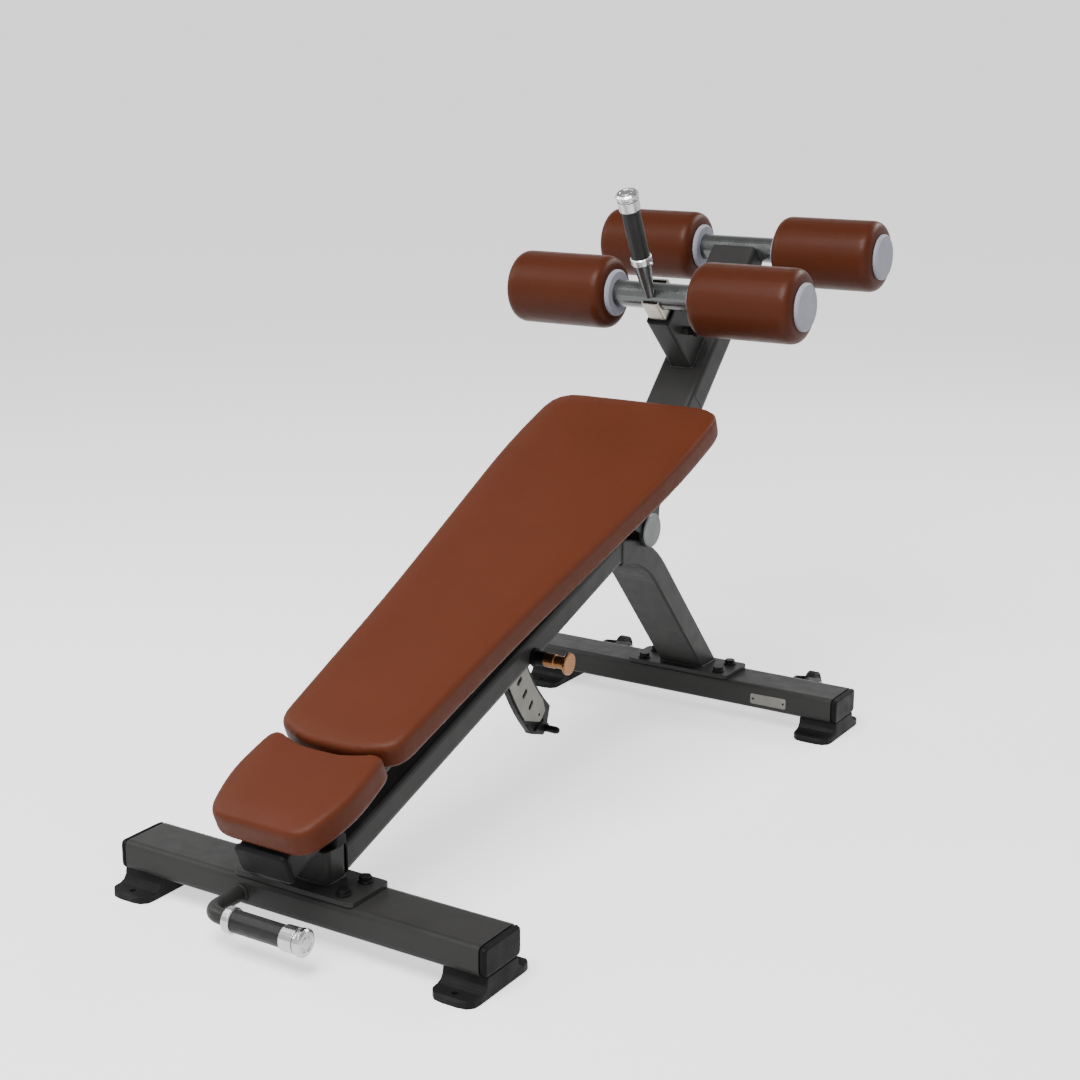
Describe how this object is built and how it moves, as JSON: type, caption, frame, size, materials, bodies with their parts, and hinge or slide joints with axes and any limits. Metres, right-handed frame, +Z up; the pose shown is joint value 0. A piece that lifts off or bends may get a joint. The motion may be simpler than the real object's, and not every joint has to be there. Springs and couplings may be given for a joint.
{
  "type": "adjustable weight bench",
  "caption": "Adjustable decline bench: tapered pad and head pad on a hinged carrier with a slotted locking arc, roller leg hold with handle, on a bolted two-beam stand.",
  "frame": {"origin": "on the floor, under the middle of the bounding box; the bench's plane of symmetry is X = 0", "axes": "+X to the right and +Y from the head end to the leg-hold end, as seen by someone standing at the head end, +Z up"},
  "size_m": [0.73, 1.6976, 1.1034],
  "materials": {
    "frame_paint": "semi-gloss dark charcoal powder coat",
    "black_plastic": "satin black moulded plastic",
    "foot_rubber": "matt black rubber",
    "black_steel": "black painted steel",
    "chrome_trim": "polished plating",
    "collar_metal": "satin aluminium",
    "grip_rubber": "ribbed matt black rubber",
    "axle_metal": "dark metallic enamel",
    "slide_plating": "warm satin nickel plating",
    "facing_metal": "warm brushed nickel",
    "knob_copper": "glossy copper-coloured lacquer",
    "pivot_metal": "satin silver",
    "wheel_axle_zinc": "zinc plating",
    "wheel_rubber": "matt black moulded rubber",
    "cushion_cover": "rust-brown leatherette with a fine grain",
    "roller_foam": "rust-brown leatherette with a fine grain",
    "roller_cap": "pale silver plastic",
    "pad_board": "plywood"
  },
  "bodies": {
    "fixed_frame": {"front_beam": "frame_paint", "rear_beam": "frame_paint", "front_beam_cap_left": "black_plastic", "front_beam_cap_right": "black_plastic", "rear_beam_cap_left": "black_plastic", "rear_beam_cap_right": "black_plastic", "front_foot_left": "foot_rubber", "front_foot_right": "foot_rubber", "rear_foot_left": "foot_rubber", "rear_foot_right": "foot_rubber", "front_post": "frame_paint", "front_post_bolts": "black_steel", "main_rail": "frame_paint", "rear_leg": "frame_paint", "rear_leg_bolts": "black_steel", "pivot_bush_left": "black_plastic", "pivot_bush_right": "black_plastic", "stop_bumper": "foot_rubber", "transport_handle_tube": "frame_paint", "transport_handle_collar": "collar_metal", "transport_handle_grip": "grip_rubber", "transport_handle_end_cap": "chrome_trim", "wheel_axle_left": "wheel_axle_zinc", "wheel_axle_right": "wheel_axle_zinc", "pin_housing": "black_plastic"},
    "wheel_left": {"transport_wheel_left": "wheel_rubber"},
    "wheel_right": {"transport_wheel_right": "wheel_rubber"},
    "angle_pin": {"pull_pin": "knob_copper"},
    "carrier": {"carrier_frame": "frame_paint", "carrier_end_cap": "black_plastic", "leg_arm": "frame_paint", "socket_bush": "black_plastic", "rear_axle": "axle_metal", "pivot_pin": "pivot_metal", "pivot_pin_cap": "pivot_metal", "sector_plate": "black_steel", "sector_facing": "facing_metal", "main_pad_board": "pad_board", "head_pad_board": "pad_board", "main_pad": "cushion_cover", "head_pad": "cushion_cover"},
    "slide_lock": {"slide_pin": "black_plastic"},
    "slide_carriage": {"slide_tube": "slide_plating", "front_axle": "axle_metal", "leg_handle_tube": "axle_metal", "leg_handle_collar": "collar_metal", "leg_handle_grip": "grip_rubber", "leg_handle_end_cap": "chrome_trim"},
    "front_roller_left": {"front_roller_left_foam": "roller_foam", "front_roller_left_hub": "roller_cap", "front_roller_left_outer_cap": "roller_cap"},
    "front_roller_right": {"front_roller_right_foam": "roller_foam", "front_roller_right_hub": "roller_cap", "front_roller_right_outer_cap": "roller_cap"},
    "rear_roller_left": {"rear_roller_left_foam": "roller_foam", "rear_roller_left_hub": "roller_cap", "rear_roller_left_outer_cap": "roller_cap"},
    "rear_roller_right": {"rear_roller_right_foam": "roller_foam", "rear_roller_right_hub": "roller_cap", "rear_roller_right_outer_cap": "roller_cap"}
  },
  "joints": [
    {"name": "back_angle", "type": "hinge", "parent": "fixed_frame", "child": "carrier", "pos_m": [0, 0.29265, 0.449], "axis": [1, 0, 0], "range_deg": [-18.2, 0]},
    {"name": "leg_hold_reach", "type": "slide", "parent": "carrier", "child": "slide_carriage", "axis": [0, -0.7181, 0.6959], "range_m": [0, 0.075]},
    {"name": "angle_pin_pull", "type": "slide", "parent": "fixed_frame", "child": "angle_pin", "axis": [1, 0, 0], "range_m": [0, 0.012], "stiffness_N_per_m": 300},
    {"name": "slide_pin_pull", "type": "slide", "parent": "carrier", "child": "slide_lock", "axis": [1, 0, 0], "range_m": [0, 0.01], "stiffness_N_per_m": 300},
    {"name": "front_roller_left_spin", "type": "hinge", "parent": "slide_carriage", "child": "front_roller_left", "pos_m": [-0.203, 0.40809, 0.88857], "axis": [1, 0, 0], "continuous": true},
    {"name": "front_roller_right_spin", "type": "hinge", "parent": "slide_carriage", "child": "front_roller_right", "pos_m": [0.203, 0.40809, 0.88857], "axis": [1, 0, 0], "continuous": true},
    {"name": "rear_roller_left_spin", "type": "hinge", "parent": "carrier", "child": "rear_roller_left", "pos_m": [-0.203, 0.77631, 0.9481], "axis": [1, 0, 0], "continuous": true},
    {"name": "rear_roller_right_spin", "type": "hinge", "parent": "carrier", "child": "rear_roller_right", "pos_m": [0.203, 0.77631, 0.9481], "axis": [1, 0, 0], "continuous": true},
    {"name": "wheel_left_spin", "type": "hinge", "parent": "fixed_frame", "child": "wheel_left", "pos_m": [-0.232, 0.69965, 0.045], "axis": [1, 0, 0], "continuous": true},
    {"name": "wheel_right_spin", "type": "hinge", "parent": "fixed_frame", "child": "wheel_right", "pos_m": [0.232, 0.69965, 0.045], "axis": [1, 0, 0], "continuous": true}
  ]
}
